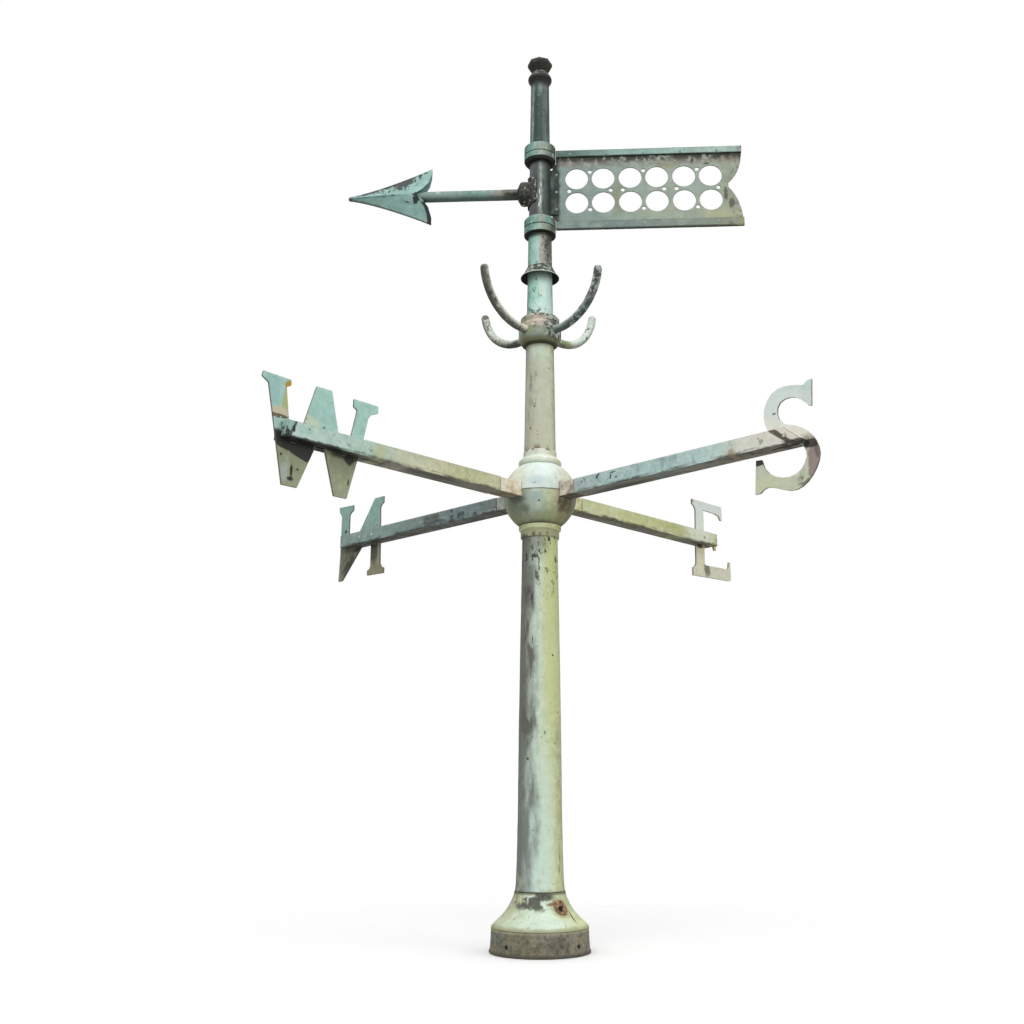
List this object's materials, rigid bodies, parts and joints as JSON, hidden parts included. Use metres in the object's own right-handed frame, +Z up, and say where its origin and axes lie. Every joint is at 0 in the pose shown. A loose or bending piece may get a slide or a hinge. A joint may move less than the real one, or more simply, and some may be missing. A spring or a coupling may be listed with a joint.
{
  "type": "weather vane",
  "caption": "Free-turning weather vane: an arrow and a pierced swallow-tail flag on a hollow column with compass letter arms, upswept rods and a bell base.",
  "frame": {"origin": "on the column's axis, at the underside of the base band's rim", "axes": "+Z up the column's axis, +X along the east arm, +Y along the north arm"},
  "size_m": [1.834, 1.816, 2.6],
  "materials": {
    "dark_bronze": "dull brown weathered bronze",
    "screw_iron": "dark corroded screw heads",
    "pale_patina": "pale mint to yellow-green verdigris over cast copper alloy",
    "bare_copper": "bare brown metal patch",
    "inner_casting": "rough casting",
    "socket_patina": "cream, chalky verdigris",
    "arm_patina": "verdigris with olive stains and dark undersides",
    "letter_patina": "pale verdigris with brown edges",
    "collar_patina": "grey-green and beige verdigris",
    "rod_patina": "mottled black and teal verdigris",
    "stem_patina": "mint verdigris",
    "skirt_dark": "black-green tarnish with a white rim line",
    "bearing_patina": "teal verdigris with black undersides",
    "spindle_bronze": "machined bronze",
    "ball_steel": "ground bearing steel",
    "sleeve_dark": "charcoal tarnish with pale drips",
    "finial_dark": "near-black tarnish",
    "arrow_patina": "turquoise verdigris with brown-black patches",
    "flag_patina": "grey-green verdigris with olive stains and a brown margin"
  },
  "bodies": {
    "column": {"base_band": "dark_bronze", "base_screws": "screw_iron", "base_flare": "pale_patina", "flare_patch": "bare_copper", "patch_screw": "screw_iron", "lower_column": "pale_patina", "neck_ring": "pale_patina", "ball_lower": "pale_patina", "ball_upper": "pale_patina", "hub_cross": "inner_casting", "ball_collar": "pale_patina", "socket_east": "socket_patina", "socket_north": "socket_patina", "socket_west": "socket_patina", "socket_south": "socket_patina", "arm_east": "arm_patina", "arm_north": "arm_patina", "arm_west": "arm_patina", "arm_south": "arm_patina", "cap_east": "arm_patina", "cap_north": "arm_patina", "cap_west": "arm_patina", "cap_south": "arm_patina", "letter_east": "letter_patina", "letter_north": "letter_patina", "letter_west": "letter_patina", "letter_south": "letter_patina", "letter_rivets": "letter_patina", "upper_column": "pale_patina", "hook_collar": "collar_patina", "rod_east": "rod_patina", "rod_north": "rod_patina", "rod_west": "rod_patina", "rod_south": "rod_patina", "lower_stem": "stem_patina", "drip_skirt": "skirt_dark", "upper_stem": "stem_patina", "bearing_ring": "bearing_patina", "spindle": "spindle_bronze", "spindle_nut": "spindle_bronze", "thrust_ball": "ball_steel"},
    "vane": {"vane_sleeve": "sleeve_dark", "lower_ring": "bearing_patina", "clamp_ring": "bearing_patina", "cap_ring": "bearing_patina", "lower_bush": "spindle_bronze", "upper_bush": "spindle_bronze", "thrust_cup": "spindle_bronze", "top_tube": "sleeve_dark", "top_ring": "finial_dark", "finial": "finial_dark", "arrow_boss": "sleeve_dark", "arrow_shaft": "arrow_patina", "arrow_head": "arrow_patina", "flag_plate": "flag_patina", "flag_top_channel": "flag_patina", "flag_foot_channel": "flag_patina", "flag_cleat": "flag_patina", "flag_rivets": "flag_patina"}
  },
  "joints": [
    {"name": "vane_spin", "type": "hinge", "parent": "column", "child": "vane", "pos_m": [0, 0, 2.1], "axis": [0, 0, 1], "continuous": true}
  ]
}
